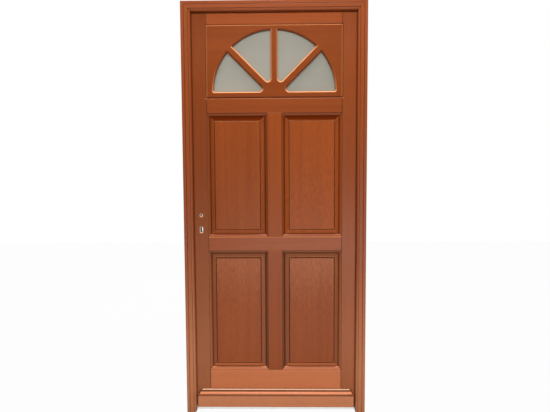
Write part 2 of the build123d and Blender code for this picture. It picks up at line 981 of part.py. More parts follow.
def latch_bolt():
    """The sprung latch, shown out, with the tail that the follower's arm draws."""
    nose_x = -leaf_half - latch_reach
    root_x = -leaf_half + latch_root
    y0 = leaf_middle - latch_width / 2
    y1 = leaf_middle + latch_width / 2
    z0 = latch_z - latch_height / 2
    plan = outline(
        (nose_x, y1 - latch_tip_width),
        (nose_x, y1),
        (root_x, y1),
        (root_x, y0),
        (-leaf_half, y0),
    )
    head = extrude(Pos(0, 0, z0) * plan, amount=latch_height, dir=(0, 0, 1))
    arm_tip_x = lock_axis_x - arm_reach * math.sin(math.radians(arm_lean)) + arm_tip_radius
    lug_x = arm_tip_x + arm_gap
    tail_end = lug_x + latch_lug_length
    half = arm_thickness / 2
    tail_high = latch_tail_low + latch_tail_height
    tail = block(root_x, tail_end, leaf_middle - half, leaf_middle + half, latch_tail_low, tail_high)
    lug_low = latch_tail_low - latch_lug_drop
    lug = block(lug_x, tail_end, leaf_middle - half, leaf_middle + half, lug_low, latch_tail_low)
    return head + tail + lug


def dead_bolt():
    """The bolt that the key throws, shown drawn in."""
    half = bolt_width / 2
    z0 = bolt_z - bolt_height / 2
    z1 = bolt_z + bolt_height / 2
    return block(-leaf_half, bolt_length - leaf_half, leaf_middle - half, leaf_middle + half, z0, z1)


# Write every piece

save(left_jamb(), "left_jamb")
save(right_jamb(), "right_jamb")
save(frame_crosspiece(frame_section()), "frame_head")
save(threshold(), "threshold")
save(frame_upright(seal_section(), leaf_bottom), "left_seal")
save(mirror(frame_upright(seal_section(), leaf_bottom), about=Plane.YZ), "right_seal")
save(frame_crosspiece(seal_section()), "head_seal")
save(strike_plate(), "strike_plate")

for number, z in enumerate(hinge_heights, start=1):
    save(hinge_frame_half(z), f"hinge_{number}_frame_half")
    save(hinge_leaf_half(z), f"hinge_{number}_leaf_half")
save(Compound(children=hinge_pins()), "hinge_pins")

save(lock_stile(), "lock_stile")
save(hinge_stile(), "hinge_stile")
save(top_rail(), "top_rail")
save(cross_rail(), "cross_rail")
save(lock_rail(), "lock_rail")
save(bottom_rail(), "bottom_rail")
for row, level in enumerate(("lower", "upper")):
    save(muntin(row), f"{level}_muntin")
    for column, side in ((-1, "left"), (1, "right")):
        save(raised_panel(column, row), f"{level}_{side}_panel")

save(fanlight_board(), "fanlight_board")
for number in range(len(rounded_lights)):
    save(fan_pane(number), f"fan_pane_{number + 1}")
    save(fan_bead(number), f"fan_bead_{number + 1}")

save(drip_rail(), "drip_rail")
save(foot_seal(), "foot_seal")

save(lock_case(), "lock_case")
save(lock_cover(), "lock_cover")
save(lock_faceplate(), "lock_faceplate")
save(follower(), "follower")
save(latch_bolt(), "latch_bolt")
save(dead_bolt(), "dead_bolt")
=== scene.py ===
import math
from typing import NamedTuple

import bpy
import numpy as np
from bpy.props import FloatProperty, FloatVectorProperty, PointerProperty
from mathutils import Matrix, Vector


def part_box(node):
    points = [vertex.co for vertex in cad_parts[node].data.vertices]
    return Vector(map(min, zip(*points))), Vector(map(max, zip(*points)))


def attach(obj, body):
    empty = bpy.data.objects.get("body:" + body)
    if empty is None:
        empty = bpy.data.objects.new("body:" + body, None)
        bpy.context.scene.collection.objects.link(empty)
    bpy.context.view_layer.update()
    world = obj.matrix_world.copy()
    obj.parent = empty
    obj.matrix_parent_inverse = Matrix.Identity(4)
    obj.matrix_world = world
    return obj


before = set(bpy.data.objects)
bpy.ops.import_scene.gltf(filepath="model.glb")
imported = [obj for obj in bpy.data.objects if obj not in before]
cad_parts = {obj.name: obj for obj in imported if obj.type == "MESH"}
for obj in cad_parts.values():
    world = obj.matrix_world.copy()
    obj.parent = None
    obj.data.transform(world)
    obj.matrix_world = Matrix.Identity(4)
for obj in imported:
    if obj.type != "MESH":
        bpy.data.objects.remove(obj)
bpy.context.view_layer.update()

bl_info = {
    "name": "Panelled front door dressing",
    "version": (1, 0, 0),
    "blender": (4, 5, 0),
    "location": "View3D > Sidebar > Door",
    "description": "Finishes, screws, hole linings and stage for a panelled front door in its frame",
    "category": "Object",
}

# The wooden pieces, by the way their grain runs.
UPRIGHT_WOOD = (
    "left_jamb", "right_jamb", "lock_stile", "hinge_stile", "upper_muntin", "lower_muntin",
    "upper_left_panel", "upper_right_panel", "lower_left_panel", "lower_right_panel",
)
LEVEL_WOOD = (
    "frame_head", "top_rail", "cross_rail", "lock_rail", "bottom_rail", "drip_rail", "fanlight_board",
    "fan_bead_1", "fan_bead_2", "fan_bead_3", "fan_bead_4",
)

# The wooden pieces, by the painted light and shade that they get, and the rails that get joint lines.
UPPER_PANELS = ("upper_left_panel", "upper_right_panel")
LOWER_PANELS = ("lower_left_panel", "lower_right_panel")
PANELS = UPPER_PANELS + LOWER_PANELS
MOULDING_SHEEN_WOOD = LOWER_PANELS + ("lower_muntin", "lock_rail")
UNHIGHLIT_WOOD = LOWER_PANELS + ("frame_head", "left_jamb", "right_jamb", "drip_rail", "bottom_rail")
SHADED_SHELF_WOOD = LOWER_PANELS + ("frame_head",)
JOINTED_RAILS = ("top_rail", "cross_rail", "lock_rail", "bottom_rail")

# The pieces that aren't of wood.
GLASS = ("fan_pane_1", "fan_pane_2", "fan_pane_3", "fan_pane_4")
RUBBER = ("left_seal", "right_seal", "head_seal", "foot_seal")
HINGES = (1, 2, 3)
HINGE_SCREWS = 4
LOCK_STEEL = ("lock_case", "lock_cover", "follower")
STEEL = ("strike_plate", "hinge_pins", "lock_faceplate", "latch_bolt", "dead_bolt")
STEEL += tuple(f"hinge_{number}_{side}_half" for number in HINGES for side in ("frame", "leaf"))


class WoodLook(NamedTuple):
    """How one wooden piece departs from the common stain and varnish.

    tone: share of the common stain's lightness, set piece by piece and partly painted light, as the bottom
    and drip rails are lighter as if lit from the floor
    gloss: specular level of the varnish
    arris: radius of the rounded edges, in metres
    painted sheen: share of a paler colour painted in for sheen and light, the height where it has that share
    and the height where it ends
    flecks: strength of the short light and dark flecks
    sides: painted shade on the mouldings that face left and right
    soffit: painted shade on the faces that look down"""

    tone: float = 1.0
    gloss: float = 0.15
    arris: float = 0.003
    painted_sheen: tuple = (0.0, 0.0, 1.0)
    flecks: float = 0.0
    sides: float = 1.0
    soffit: float = 1.0


WOOD_LOOKS = {
    "frame_head": WoodLook(tone=0.68, gloss=0.20, arris=0.005, soffit=0.85),
    "left_jamb": WoodLook(tone=0.74, gloss=0.20, painted_sheen=(0.42, 0.0, 1.15)),
    "right_jamb": WoodLook(tone=0.77, gloss=0.21, painted_sheen=(0.42, 0.0, 0.95)),
    "lock_stile": WoodLook(tone=0.59, painted_sheen=(0.22, 0.0, 1.35)),
    "hinge_stile": WoodLook(tone=0.69, gloss=0.18, painted_sheen=(0.17, 0.0, 1.35)),
    "top_rail": WoodLook(tone=0.81, gloss=0.19, arris=0.004),
    "fanlight_board": WoodLook(tone=0.63, gloss=0.11, arris=0.006),
    "cross_rail": WoodLook(tone=0.69),
    "upper_muntin": WoodLook(tone=0.79, gloss=0.12, sides=0.70),
    "upper_left_panel": WoodLook(tone=0.735, gloss=0.13, flecks=0.45),
    "upper_right_panel": WoodLook(tone=0.825, gloss=0.125, flecks=0.8),
    "lock_rail": WoodLook(tone=0.77, gloss=0.20),
    "lower_muntin": WoodLook(tone=0.71, sides=0.54),
    "lower_left_panel": WoodLook(tone=0.76, painted_sheen=(0.12, 0.95, 0.55), flecks=0.9),
    "lower_right_panel": WoodLook(tone=0.71, painted_sheen=(0.14, 0.95, 0.55), flecks=1.0),
    # Painted light: the bottom and drip rails get a lighter tone, as if lit from the floor.
    "bottom_rail": WoodLook(tone=1.22, gloss=0.22, painted_sheen=(0.30, 0.0, 0.9)),
    "drip_rail": WoodLook(tone=1.25, gloss=0.20, arris=0.001, painted_sheen=(0.36, 0.0, 0.9)),
}

# Noise along the grain: waves per metre across it and along it, then detail, roughness and distortion.
BAND_NOISE = ((34.0, 34.0, 0.7), 3.0, 0.55, 0.6)
MOTTLE_NOISE = ((6.0, 6.0, 1.6), 2.0)
FIBRE_NOISE = ((420.0, 420.0, 7.0), 3.0, 0.6)
PORE_NOISE = ((620.0, 620.0, 26.0), 1.0, 0.4)
FLECK_NOISE = ((190.0, 190.0, 30.0), 2.0, 0.6)

# How far the grain is shifted from one wooden piece to the next.
GRAIN_STEP = (0.37, 0.91, 1.7)

# Greys that the noise is carried to: stops of a place and a grey, or the lowest and the highest value.
BAND_STOPS = ((0.32, 0.0), (0.52, 0.6), (0.70, 1.0))
FIBRE_STOPS = ((0.30, 0.88), (0.62, 1.03))
PORE_STOPS = ((0.60, 0.0), (0.74, 1.0))
FLECK_STOPS = ((0.34, 0.80), (0.66, 1.20))
MOTTLE_SHADES = (0.90, 1.10)
FIBRE_SHARE = 0.6
PORE_SHARES = (0.0, 0.35)
VARNISH_ROUGHNESS = (0.34, 0.47)

# The fine relief of a finish: its strength and its depth in metres.
GRAIN_RELIEF = (0.35, 0.0002)
GLASS_RELIEF = (0.25, 0.0002)
METAL_RELIEF = (0.2, 0.0001)
RELIEF_SHARE = 0.5

# Ranges that a finish comes in over: from and to a height, then its values there.
FLECK_HEAD = (1.15, 1.55, 1.0, 0.25)
FLECK_FOOT = (0.35, 0.75, 0.45, 1.0)

# Ranges over one part of the rounded normal, in the piece's own axes: from and to, then the values there.
# Painted sheen on mouldings that turn from the leaf's faces, on the lock rail only on its lower side.
MOULDING_SHEEN_TURN = (0.99, 0.90, 0.0, 0.5)
LOCK_RAIL_LOWER_SIDE = (0.02, 0.12, 1.0, 0.0)
# Painted light: the panels' faces that look down are made lighter, as if lit from the floor.
UPPER_UNDERSIDE_LIGHT = (-0.10, -0.70, 1.0, 1.5)
LOWER_UNDERSIDE_LIGHT = (-0.10, -0.70, 1.0, 3.0)
# Painted shadow on the upper panels' top bevels, and painted shade on other up-facing shelves.
SHELF_SHADOW_RISE = (0.10, 0.28)
SHELF_SHADE_RISE = (0.42, 0.58)
# Painted shade: the bottom rail's faces that look up are made darker.
BOTTOM_LEDGE_SHADE = (0.10, 0.50, 1.0, 0.74)
# Painted shade on faces that look down, and on mouldings that face left and right.
SOFFIT_TURN = (-0.70, -0.95)
SIDE_TURN = (0.12, 0.45)
# Painted highlight on up-facing arrises and on the fanlight board's rims.
HIGHLIGHT_TURN = (0.995, 0.90)
HIGHLIGHT_RISE = (-0.05, 0.35)
RIM_TURN = (0.99, 0.85)
RIM_RISE = (-0.30, 0.30)
# Painted shade in inner corners: how much of it, by which way the surface faces.
UPPER_CORNER_SHADE_RISE = (-0.25, -0.05, 0.25, 1.0)
LOWER_CORNER_SHADE_RISE = (-0.08, -0.02, 0.25, 1.0)
COMMON_CORNER_SHADE_RISE = (0.45, 0.15, 0.25, 1.0)

# Ranges over how open a place is, from none in a corner to one in the open.
# Painted shade in corners, by how open the place is.
CORNER_SHADE = (0.55, 0.94, 1.0, 0.0)
# Painted highlight on arrises and rims, by how open the place is.
HIGHLIGHT_OPEN = (0.50, 0.66)
RIM_OPEN = (0.40, 0.60)
CORNER_REACH = 0.006
EDGE_SAMPLES = 8

# Joint lines of the rails: the stile's visible width, the line's two edges and its shade.
STILE_FACE = 0.086
JOINT_EDGES = (0.0055, 0.0025)
JOINT_SHADE = 0.35

# From a piece's top: where the plain top begins.
PLAIN_TOP = (0.0010, 0.0004)

# Drip rail, as depths below its top: painted light and shade of its steps, and where its painted sheen lies.
DRIP_STEP_SHADING = (
    (0.0230, 1.00), (0.0215, 0.30), (0.0170, 0.36), (0.0155, 0.94), (0.0085, 1.00), (0.0070, 0.26),
    (0.0024, 0.26), (0.0017, 1.10), (0.0005, 1.10), (0.0001, 0.20),
)
DRIP_CROWN = (0.0024, 0.0017)
DRIP_FACE = (0.0215, 0.0230)
DRIP_FACE_SHEEN_SHARE = 0.15

# Frosted glass: its noise, the shades and roughness that it is carried to, and how clear the glass is.
GLASS_CLOUD = ((9.0, 9.0, 9.0), 2.0)
GLASS_FROST = ((900.0, 900.0, 900.0), 2.0)
GLASS_SHADES = (0.92, 1.08)
GLASS_ROUGHNESS = (0.42, 0.58)
GLASS_CLEARNESS = 0.25
GLASS_INDEX = 1.45

# Metals: waves per metre of the rub marks and the middle of the roughness, then what all metals share.
METAL_RUBS = {
    "zinc_steel": ((500.0, 500.0, 60.0), 0.34),
    "dark_steel": ((300.0, 300.0, 300.0), 0.55),
    "threshold_aluminium": ((6.0, 900.0, 900.0), 0.38),
}
RUB_NOISE = (3.0, 0.6)
METAL_BLOOM = ((60.0, 60.0, 60.0), 3.0)
METAL_SHADES = (0.82, 1.10)
SMOOTHER = 0.08
ROUGHER = 0.10

# Rubber and cut wood: their noise, and the shades and roughness that it is carried to.
RUBBER_DUST = ((120.0, 120.0, 30.0), 3.0)
RUBBER_SHADES = (0.7, 1.6)
RUBBER_ROUGHNESS = (0.62, 0.80)
CUT_MARKS = ((200.0, 1600.0, 200.0), 2.0)
CUT_SHADES = (0.75, 1.15)
CUT_ROUGHNESS = 0.75

# Soft lights: place, target, width and height, in metres.
SOFT_LIGHTS = {
    "floor_light": ((0.2, -1.0, 0.02), (0.2, -0.99, 1.0), 2.0, 1.2),
    "sheen_light": ((0.5, -4.2, 0.25), (0.2, 0.0, 0.9), 3.2, 0.5),
    "head_light": ((0.0, -1.00, 2.42), (0.0, 0.0, 2.16), 1.4, 0.15),
    "back_light": ((-0.8, 3.2, 1.9), (0.0, 0.0, 1.1), 2.4, 1.6),
}
SKY_RISE = (0.40, 0.92)
SENSOR_WIDTH = 36.0
NEAREST_VIEW = 0.01
WHITE = (1.0, 1.0, 1.0, 1.0)


def colour(name, description, default):
    """A colour setting, in linear light."""
    return FloatVectorProperty(
        name=name, description=description, default=default, subtype="COLOR", size=3, min=0, max=1,
    )


def length(name, description, default):
    """A length setting, in metres."""
    return FloatProperty(name=name, description=description, default=default, unit="LENGTH", precision=5)


def angle(name, description, default):
    """An angle setting, given in degrees and kept in radians."""
    return FloatProperty(name=name, description=description, default=math.radians(default), unit="ROTATION")


def plain(name, description, default):
    """A number without a unit."""
    return FloatProperty(name=name, description=description, default=default)


class DoorColours(bpy.types.PropertyGroup):
    """Colours of the finishes."""

    wood_light: colour("Wood, light bands", "Stained wood between the darker bands", (0.308, 0.064, 0.010))
    wood_dark: colour("Wood, dark bands", "Stained wood in the darker bands", (0.270, 0.054, 0.008))
    wood_pore: colour("Wood pores", "Stain gathered in the pores", (0.10, 0.022, 0.008))
    # Painted sheen: a paler colour standing in for sheen and light near the foot and on the lower panels'
    # tops.
    wood_sheen: colour("Bleached wood", "Stained wood that rain has bleached", (0.62, 0.26, 0.12))
    # Painted sheen: a paler grey colour on the drip rail's crown and face.
    wood_drip_sheen: colour("Silvered wood", "Wood greyed by rain on the drip rail", (0.46, 0.27, 0.17))
    # Painted highlight: a light colour on the up-facing arrises and the fanlight board's rims.
    wood_edge_highlight: colour("Worn wood", "Stained wood rubbed thin on the upper arrises", (0.74, 0.28, 0.10))
    # Painted sheen: a greyer colour on the lower pieces' mouldings where they turn from the leaf's faces.
    wood_moulding_sheen: colour("Greyed wood", "Stain dulled by rain on the lower mouldings", (0.190, 0.075, 0.036))
    # Painted shadow: a deep red colour on the upper panels' top bevels, where the rail above shades them.
    wood_shelf_shadow: colour("Wood shelf", "Deep red stain on the upper panels' top bevels", (0.118, 0.014, 0.0))
    # Painted shade: a dark colour in inner corners and on up-facing shelves.
    wood_painted_shade: colour("Wood corners", "Stain gathered in the inner corners", (0.052, 0.010, 0.003))
    raw_wood: colour("Raw wood", "Cut wood inside the lock holes", (0.43, 0.31, 0.22))
    glass: colour("Glass", "Frosted glass", (0.253, 0.240, 0.197))
    zinc: colour("Zinc", "Zinc plated steel", (0.50, 0.50, 0.48))
    dark_steel: colour("Dark steel", "Steel inside the lock", (0.07, 0.06, 0.052))
    aluminium: colour("Aluminium", "Anodised threshold", (0.72, 0.72, 0.71))
    rubber: colour("Rubber", "Weather seals", (0.030, 0.026, 0.024))


class DoorSizes(bpy.types.PropertyGroup):
    """Sizes of the screws and of the hole linings."""

    screw_radius: length("Screw head radius", "Radius of a countersunk head", 0.0042)
    screw_dome: length("Screw dome", "Rise of the head over its rim", 0.0005)
    screw_skirt: length("Screw skirt", "Depth of the head below the plate's face", 0.0012)
    recess_reach: length("Recess reach", "Reach of the cross recess from the middle", 0.0024)
    recess_width: length("Recess width", "Half width of an arm of the cross recess", 0.0005)
    recess_depth: length("Recess depth", "Depth of the cross recess", 0.0009)
    hinge_screw_pitch: length("Hinge screw pitch", "Height between the screws of a blade", 0.036)
    hinge_row: length("Hinge screw row", "Distance between the two rows of a blade", 0.010)
    plate_screw_inset: length("Plate screw inset", "From a plate's end to its screw", 0.012)
    lining_wall: length("Lining wall", "Wall of the cut wood shown in the lock holes", 0.0040)
    lining_fit: length("Lining fit", "Gap between the lining and its hole", 0.0001)
    lining_mouth: length("Lining mouth", "From the leaf's face to the lining", 0.0006)
    hub_hole: length("Spindle hole radius", "Radius of the hole for the handle's spindle", 0.010)
    cylinder_hole: length("Cylinder hole radius", "End radius of the long hole for the key cylinder", 0.0105)
    cylinder_run: length("Cylinder hole run", "Distance between the long hole's end centres", 0.017)
    cylinder_drop: length("Cylinder drop", "From the spindle down to the key cylinder", 0.070)
    spindle_height: length("Spindle height", "Height of the spindle's middle over the floor", 1.082)
    spindle_inset: length("Spindle inset", "From the leaf's edge to the spindle's middle", 0.050)


class DoorStage(bpy.types.PropertyGroup):
    """Camera, floor and lights."""

    camera_place: FloatVectorProperty(
        name="Camera place", description="Where the camera stands", default=(0.0249, -1.8899, 1.2283),
        subtype="TRANSLATION", unit="LENGTH", size=3,
    )
    camera_yaw: angle("Camera yaw", "Turn to the left", 0.73)
    camera_pitch: angle("Camera pitch", "Turn downwards", 2.98)
    camera_roll: angle("Camera roll", "Turn about the view's axis", -0.28)
    camera_lens: plain("Camera lens", "Focal length in millimetres on a 36 mm wide sensor", 22.91)
    floor_reach: length("Floor reach", "Half the floor's width", 6.0)
    floor_drop: length("Floor drop", "From the door's foot down to the floor", 0.0005)
    floor_tone: plain("Floor tone", "Share of light that the floor sends back", 0.25)
    floor_white: plain("Floor white", "Share of plain white in what the camera sees of the floor", 0.97)
    sky_low: plain("Sky, low", "Strength of the light from near the horizon", 0.12)
    sky_high: plain("Sky, high", "Strength of the light from overhead", 0.5)
    key_light: plain("Key light", "Strength of the far light high before the door", 3.6)
    key_rise: angle("Key rise", "Height of the far light over the horizon", 79.0)
    key_turn: angle("Key turn", "Turn of the far light to the right of the door's front", 8.0)
    key_spread: angle("Key spread", "Apparent width of the far light, which softens its shadows", 14.0)
    floor_light: plain("Floor light", "Power of the light on the floor before the door, in watts", 9.0)
    sheen_light: plain("Sheen light", "Power of the low wide light before the door, in watts", 84.0)
    head_light: plain("Head light", "Power of the strip light before the door's head, in watts", 13.5)
    back_light: plain("Back light", "Power of the soft light behind the door, in watts", 95.0)


def full(rgb):
    """A colour with full alpha."""
    return (*rgb, 1.0)


class NodeTree:
    """A node tree of a material or a world, built node by node."""

    def __init__(self, owner):
        self.owner = owner
        owner.use_nodes = True
        self.tree = owner.node_tree
        self.tree.nodes.clear()

    def put(self, socket, value):
        """Link a socket to an output, or set it to a value."""
        if isinstance(value, bpy.types.NodeSocket):
            self.tree.links.new(value, socket)
        else:
            socket.default_value = value

    def add(self, kind, sockets=None, **settings):
        """A node with its settings, and each socket set to a value or linked to an output."""
        node = self.tree.nodes.new(kind)
        for key, value in settings.items():
            setattr(node, key, value)
        for key, value in (sockets or {}).items():
            self.put(node.inputs[key], value)
        return node

    def ramp(self, fac, stops):
        """A colour ramp through (place, grey) stops; returns its colour output."""
        node = self.add("ShaderNodeValToRGB", {"Fac": fac})
        band = node.color_ramp
        band.elements[0].position, band.elements[1].position = stops[0][0], stops[-1][0]
        band.elements[0].color = full((stops[0][1],) * 3)
        band.elements[1].color = full((stops[-1][1],) * 3)
        for place, grey in stops[1:-1]:
            band.elements.new(place).color = full((grey,) * 3)
        return node.outputs["Color"]

    def noise(self, vector, stretch, detail=2.0, roughness=0.5, distortion=0.0):
        """Noise in coordinates that are stretched by the given factors; returns its grey output."""
        mapped = self.add("ShaderNodeMapping", {"Vector": vector, "Scale": stretch}).outputs["Vector"]
        sockets = {"Vector": mapped, "Scale": 1.0, "Detail": detail, "Roughness": roughness}
        sockets["Distortion"] = distortion
        return self.add("ShaderNodeTexNoise", sockets).outputs["Fac"]

    def mix(self, fac, low, high, blend="MIX"):
        """Two colours mixed by a factor; returns the result."""
        node = self.add("ShaderNodeMix", data_type="RGBA", blend_type=blend)
        for socket, value in ((node.inputs[0], fac), (node.inputs[6], low), (node.inputs[7], high)):
            self.put(socket, value)
        return node.outputs[2]

    def ranged(self, value, start, end, low=0.0, high=1.0, **settings):
        """A value carried from the range of start to end to that of low to high, and held at its ends."""
        sockets = {"Value": value, "From Min": start, "From Max": end, "To Min": low, "To Max": high}
        return self.add("ShaderNodeMapRange", sockets, **settings).outputs["Result"]

    def spread(self, value, low, high):
        """A 0 to 1 value carried to the range from low to high."""
        return self.ranged(value, 0.0, 1.0, low, high)

    def maths(self, operation, *values):
        """One step of arithmetic on one or two values; returns the result."""
        return self.add("ShaderNodeMath", dict(enumerate(values)), operation=operation).outputs["Value"]

    def split(self, vector):
        """The X, Y and Z outputs of a vector."""
        return self.add("ShaderNodeSeparateXYZ", {"Vector": vector}).outputs

    def object_space(self):
        """The place on the piece, in metres in its own axes."""
        return self.add("ShaderNodeTexCoord").outputs["Object"]

    def bump(self, height, strength, distance, normal=None):
        """A fine relief, over a rounded normal if one is given; returns its normal."""
        sockets = {"Strength": strength, "Distance": distance, "Height": height}
        if normal is not None:
            sockets["Normal"] = normal
        return self.add("ShaderNodeBump", sockets).outputs["Normal"]

    def finish(self, sockets):
        """The surface shader and the output."""
        shader = self.add("ShaderNodeBsdfPrincipled", sockets)
        self.add("ShaderNodeOutputMaterial", {"Surface": shader.outputs["BSDF"]})
        return self.owner

    def shown(self):
        """One for the rays that show the background: from the camera, in gloss and through glass."""
        path = self.add("ShaderNodeLightPath").outputs
        seen = self.maths("MAXIMUM", path["Is Camera Ray"], path["Is Glossy Ray"])
        return self.maths("MAXIMUM", seen, path["Is Transmission Ray"])


def new_material(name):
    """A node tree in a new material."""
    return NodeTree(bpy.data.materials.new(name))


def dress(obj, material):
    """Put one material in an object's only slot."""
    obj.data.materials.clear()
    obj.data.materials.append(material)


class StainedWood(NodeTree):
    """Red-brown stained hardwood under satin varnish, laid on one wooden piece in layers."""

    def __init__(self, node, place, colours):
        super().__init__(bpy.data.materials.new(f"wood_{node}"))
        self.node = node
        self.look = WOOD_LOOKS.get(node, WoodLook())
        self.colours = colours
        self.spot = self.object_space()
        self.height = self.split(self.spot)["Z"]
        turn = (0.0, math.pi / 2, 0.0) if node in LEVEL_WOOD else (0.0, 0.0, 0.0)
        sockets = {"Vector": self.spot, "Location": place, "Rotation": turn}
        self.grain = self.add("ShaderNodeMapping", sockets).outputs["Vector"]
        sockets = {"Radius": self.look.arris}
        self.arris = self.add("ShaderNodeBevel", sockets, samples=EDGE_SAMPLES).outputs["Normal"]
        axes = {"vector_type": "NORMAL", "convert_from": "WORLD", "convert_to": "OBJECT"}
        own = self.add("ShaderNodeVectorTransform", {"Vector": self.arris}, **axes).outputs["Vector"]
        self.lean = self.split(own)
        self.rise = self.lean["Z"]
        sockets = {"Distance": CORNER_REACH}
        self.open = self.add("ShaderNodeAmbientOcclusion", sockets, samples=EDGE_SAMPLES).outputs["AO"]

    def lay(self, share, shade):
        """Lay a colour over the wood by a share."""
        self.wood = self.mix(share, self.wood, full(shade))

    def tint(self, grey, share=1.0):
        """Multiply the wood by a grey, by a share."""
        self.wood = self.mix(share, self.wood, grey, "MULTIPLY")

    def lay_grain(self):
        """Long soft bands, a paler painted sheen by height, then mottle, fine fibres and pores that hold the
        stain, stretched along the grain.
        """
        tones = (self.colours.wood_dark, self.colours.wood_light)
        dark, light = (full(Vector(shade) * self.look.tone) for shade in tones)
        self.wood = self.mix(self.ramp(self.noise(self.grain, *BAND_NOISE), BAND_STOPS), dark, light)
        # Painted sheen: a paler colour by height, in place of the sheen and light there.
        share, start, end = self.look.painted_sheen
        painted_sheen = self.ranged(self.height, start, end, share, 0.0, interpolation_type="SMOOTHSTEP")
        self.lay(painted_sheen, self.colours.wood_sheen)
        self.tint(self.spread(self.noise(self.grain, *MOTTLE_NOISE), *MOTTLE_SHADES))
        self.fibres = self.noise(self.grain, *FIBRE_NOISE)
        self.tint(self.ramp(self.fibres, FIBRE_STOPS), FIBRE_SHARE)
        self.pores = self.ramp(self.noise(self.grain, *PORE_NOISE), PORE_STOPS)
        self.lay(self.spread(self.pores, *PORE_SHARES), self.colours.wood_pore)

    def lay_flecks(self):
        """Short flecks, weaker near the leaf's head and near its foot."""
        fleck = self.ramp(self.noise(self.grain, *FLECK_NOISE), FLECK_STOPS)
        start, end, low, high = FLECK_HEAD
        amount = self.ranged(self.height, start, end, low * self.look.flecks, high * self.look.flecks)
        amount = self.maths("MULTIPLY", amount, self.ranged(self.height, *FLECK_FOOT))
        self.tint(fleck, amount)

    def sheen_mouldings(self):
        """Painted sheen: a greyer colour where the surface turns from the leaf's two faces, on the lock rail
        only below it.
        """
        turned = self.ranged(self.maths("ABSOLUTE", self.lean["Y"]), *MOULDING_SHEEN_TURN)
        if self.node == "lock_rail":
            turned = self.maths("MULTIPLY", turned, self.ranged(self.rise, *LOCK_RAIL_LOWER_SIDE))
        self.lay(turned, self.colours.wood_moulding_sheen)

    def shade_shelves(self):
        """Painted shadow on the upper panels' up-facing bevels and painted shade on other pieces' up-facing
        bevels, not on the piece's own top; returns its share.
        """
        if self.node in UPPER_PANELS:
            shelf_shade = self.ranged(self.rise, *SHELF_SHADOW_RISE)
            self.lay(shelf_shade, self.colours.wood_shelf_shadow)
            return shelf_shade
        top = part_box(self.node)[1].z
        below_top = self.ranged(self.height, top - PLAIN_TOP[0], top - PLAIN_TOP[1], 1.0, 0.0)
        shelf_shade = self.maths("MULTIPLY", self.ranged(self.rise, *SHELF_SHADE_RISE), below_top)
        self.lay(shelf_shade, self.colours.wood_painted_shade)
        return shelf_shade

    def draw_joints(self):
        """A dark line on a rail beside each stile's visible edge."""
        aside = self.maths("ABSOLUTE", self.split(self.spot)["X"])
        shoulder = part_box("hinge_stile")[1].x - STILE_FACE
        self.tint(self.ranged(aside, shoulder - JOINT_EDGES[0], shoulder - JOINT_EDGES[1], 1.0, JOINT_SHADE))

    def shade_drip_rail(self):
        """Painted sheen on the drip rail's crown and face, then painted light and shade on its steps by
        height.
        """
        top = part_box("drip_rail")[1].z
        crown = self.ranged(self.height, top - DRIP_CROWN[0], top - DRIP_CROWN[1])
        self.lay(crown, self.colours.wood_drip_sheen)
        face = self.ranged(self.height, top - DRIP_FACE[0], top - DRIP_FACE[1], 0.0, DRIP_FACE_SHEEN_SHARE)
        self.lay(face, self.colours.wood_drip_sheen)
        deepest, shallowest = DRIP_STEP_SHADING[0][0], DRIP_STEP_SHADING[-1][0]
        reach = deepest - shallowest
        stops = [((deepest - depth) / reach, grey) for depth, grey in DRIP_STEP_SHADING]
        self.tint(self.ramp(self.ranged(self.height, top - deepest, top - shallowest), stops))

    def shade_corners(self):
        """Painted shade in inner corners, less of it where the panels face down and where other pieces face
        up; returns its share.
        """
        facing_limit = COMMON_CORNER_SHADE_RISE
        if self.node in UPPER_PANELS:
            facing_limit = UPPER_CORNER_SHADE_RISE
        if self.node in LOWER_PANELS:
            facing_limit = LOWER_CORNER_SHADE_RISE
        shade_share = self.ranged(self.open, *CORNER_SHADE)
        shade_share = self.maths("MULTIPLY", shade_share, self.ranged(self.rise, *facing_limit))
        self.lay(shade_share, self.colours.wood_painted_shade)
        return shade_share

    def highlight_edges(self):
        """Painted highlights on edges that face up: how far the surface turns, times its rise, times how
        open the place is.

        The fanlight board's rims turn from its two faces, and other pieces' arrises from the flat face."""
        if self.node == "fanlight_board":
            turned = self.ranged(self.maths("ABSOLUTE", self.lean["Y"]), *RIM_TURN)
            rise, outer = RIM_RISE, RIM_OPEN
        else:
            flat = self.add("ShaderNodeNewGeometry").outputs["Normal"]
            sockets = {0: self.arris, 1: flat}
            turn = self.add("ShaderNodeVectorMath", sockets, operation="DOT_PRODUCT").outputs["Value"]
            turned = self.ranged(turn, *HIGHLIGHT_TURN)
            rise, outer = HIGHLIGHT_RISE, HIGHLIGHT_OPEN
        highlit = self.maths("MULTIPLY", turned, self.ranged(self.rise, *rise))
        highlit = self.maths("MULTIPLY", highlit, self.ranged(self.open, *outer))
        self.lay(highlit, self.colours.wood_edge_highlight)

    def varnish(self, matt):
        """Satin varnish over the relief of fibres and pores, dull where one of the matt shares is high."""
        relief = self.mix(RELIEF_SHARE, self.fibres, self.pores, "SUBTRACT")
        dull = self.spread(self.fibres, *VARNISH_ROUGHNESS)
        for share in matt:
            dull = self.maths("MAXIMUM", dull, share)
        return self.finish({
            "Base Color": self.wood,
            "Roughness": dull,
            "Specular IOR Level": self.look.gloss,
            "Normal": self.bump(relief, *GRAIN_RELIEF, self.arris),
        })

    def build(self):
        """Lay all the layers in order; returns the material."""
        look, node = self.look, self.node
        matt = []
        self.lay_grain()
        if look.flecks > 0.0:
            self.lay_flecks()
        if node in MOULDING_SHEEN_WOOD:
            self.sheen_mouldings()
        if node in PANELS:
